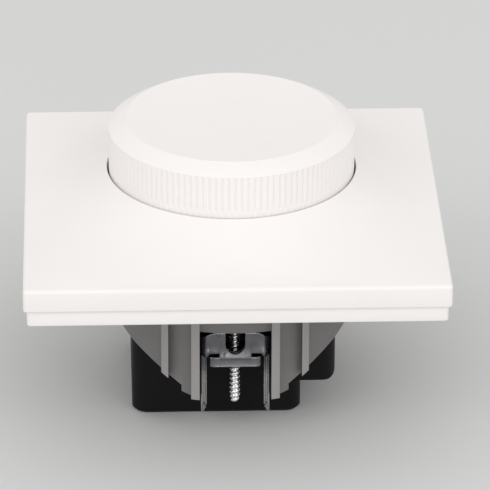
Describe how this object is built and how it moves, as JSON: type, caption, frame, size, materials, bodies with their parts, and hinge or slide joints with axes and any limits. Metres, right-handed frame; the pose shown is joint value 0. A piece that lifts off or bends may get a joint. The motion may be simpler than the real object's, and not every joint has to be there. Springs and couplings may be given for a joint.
{
  "type": "rotary dimmer switch",
  "caption": "Flush-mounted rotary push dimmer: square crowned cover, knurled knob, grey carrier with spreading claws and a stepped base with wire terminals.",
  "frame": {"origin": "on the wall plane, which is the underside of the carrier's flange, at the knob's axis", "axes": "+Z out of the wall along the knob's axis, the claws at -Y and +Y, the base's step at +X"},
  "size_m": [0.085, 0.085, 0.0594],
  "materials": {
    "white_knob": "satin white moulding",
    "white_cover": "satin white moulding",
    "grey_moulding": "matt grey moulding",
    "black_moulding": "matt black moulding",
    "claw_steel": "dull plated sheet steel",
    "zinc_screw": "bright zinc plate",
    "spring_steel": "plain sheet steel",
    "brass": "plain brass",
    "aluminium": "plain drawn aluminium",
    "board": "paper laminate",
    "phenolic": "brown laminate",
    "white_inner": "natural moulding",
    "iron_powder": "lacquered powder core",
    "copper": "lacquered copper wire",
    "capacitor_case": "potted case",
    "resistor_body": "lacquered body"
  },
  "bodies": {
    "body_frame": {"cover_plate": "white_cover", "backing_frame": "white_cover", "carrier": "grey_moulding", "base_housing": "black_moulding", "circuit_board": "board", "switch_housing": "black_moulding", "fixed_contacts": "brass", "return_spring": "spring_steel", "track_wafer": "phenolic", "pot_housing": "spring_steel", "pot_bush": "brass", "cover_nut": "brass", "choke_core": "iron_powder", "choke_winding": "copper", "capacitor": "capacitor_case", "timing_capacitor": "capacitor_case", "heat_sink": "aluminium", "triac": "black_moulding", "fuse": "phenolic", "resistors": "resistor_body", "diac": "resistor_body", "terminal_bars": "brass"},
    "push_body": {"switch_plunger": "white_inner", "contact_bridge": "brass"},
    "knob_body": {"knob": "white_knob", "spindle": "aluminium", "retaining_clip": "spring_steel"},
    "wiper_body": {"wiper_rotor": "white_inner", "wiper_contact": "brass"},
    "screw_front_body": {"claw_screw_front": "zinc_screw"},
    "screw_rear_body": {"claw_screw_rear": "zinc_screw"},
    "claw_front_body": {"claw_front": "claw_steel"},
    "claw_rear_body": {"claw_rear": "claw_steel"},
    "terminal_screw_1_body": {"terminal_screw_1": "zinc_screw"},
    "terminal_screw_2_body": {"terminal_screw_2": "zinc_screw"},
    "terminal_cage_1_body": {"terminal_cage_1": "zinc_screw"},
    "terminal_cage_2_body": {"terminal_cage_2": "zinc_screw"}
  },
  "joints": [
    {"name": "knob_push", "type": "slide", "parent": "body_frame", "child": "push_body", "axis": [0, 0, 1], "range_m": [-0.0015, 0], "stiffness_N_per_m": 600, "springref_m": 0.003, "deforming": ["return_spring"]},
    {"name": "knob_turn", "type": "hinge", "parent": "push_body", "child": "knob_body", "pos_m": [0, 0, 0], "axis": [0, 0, -1], "range_deg": [0, 280]},
    {"name": "wiper_turn", "type": "hinge", "parent": "body_frame", "child": "wiper_body", "pos_m": [0, 0, 0], "axis": [0, 0, -1], "range_deg": [0, 280]},
    {"name": "claw_screw_front_turn", "type": "hinge", "parent": "body_frame", "child": "screw_front_body", "pos_m": [0, -0.0223, 0], "axis": [0, 0, -1], "range_deg": [0, 720]},
    {"name": "claw_front_splay", "type": "hinge", "parent": "body_frame", "child": "claw_front_body", "pos_m": [0, -0.0223, -0.0175], "axis": [-1, 0, 0], "range_deg": [0, 15]},
    {"name": "claw_screw_rear_turn", "type": "hinge", "parent": "body_frame", "child": "screw_rear_body", "pos_m": [0, 0.0223, 0], "axis": [0, 0, -1], "range_deg": [0, 720]},
    {"name": "claw_rear_splay", "type": "hinge", "parent": "body_frame", "child": "claw_rear_body", "pos_m": [0, 0.0223, -0.0175], "axis": [1, 0, 0], "range_deg": [0, 15]},
    {"name": "terminal_screw_1_turn", "type": "hinge", "parent": "body_frame", "child": "terminal_screw_1_body", "pos_m": [0.01595, -0.0045, 0], "axis": [0, 0, 1], "range_deg": [0, 1260]},
    {"name": "terminal_screw_2_turn", "type": "hinge", "parent": "body_frame", "child": "terminal_screw_2_body", "pos_m": [0.01595, 0.0045, 0], "axis": [0, 0, 1], "range_deg": [0, 1260]},
    {"name": "terminal_cage_1_slide", "type": "slide", "parent": "body_frame", "child": "terminal_cage_1_body", "axis": [0, 0, -1], "range_m": [0, 0.00175]},
    {"name": "terminal_cage_2_slide", "type": "slide", "parent": "body_frame", "child": "terminal_cage_2_body", "axis": [0, 0, -1], "range_m": [0, 0.00175]}
  ],
  "couplings": [
    {"joint": "wiper_turn", "follows": "knob_turn", "ratio": 1},
    {"joint": "claw_front_splay", "follows": "claw_screw_front_turn", "ratio": 0.020833},
    {"joint": "claw_rear_splay", "follows": "claw_screw_rear_turn", "ratio": 0.020833},
    {"joint": "terminal_screw_1_turn", "follows": "terminal_cage_1_slide", "rad_per_m": 12566},
    {"joint": "terminal_screw_2_turn", "follows": "terminal_cage_2_slide", "rad_per_m": 12566}
  ]
}
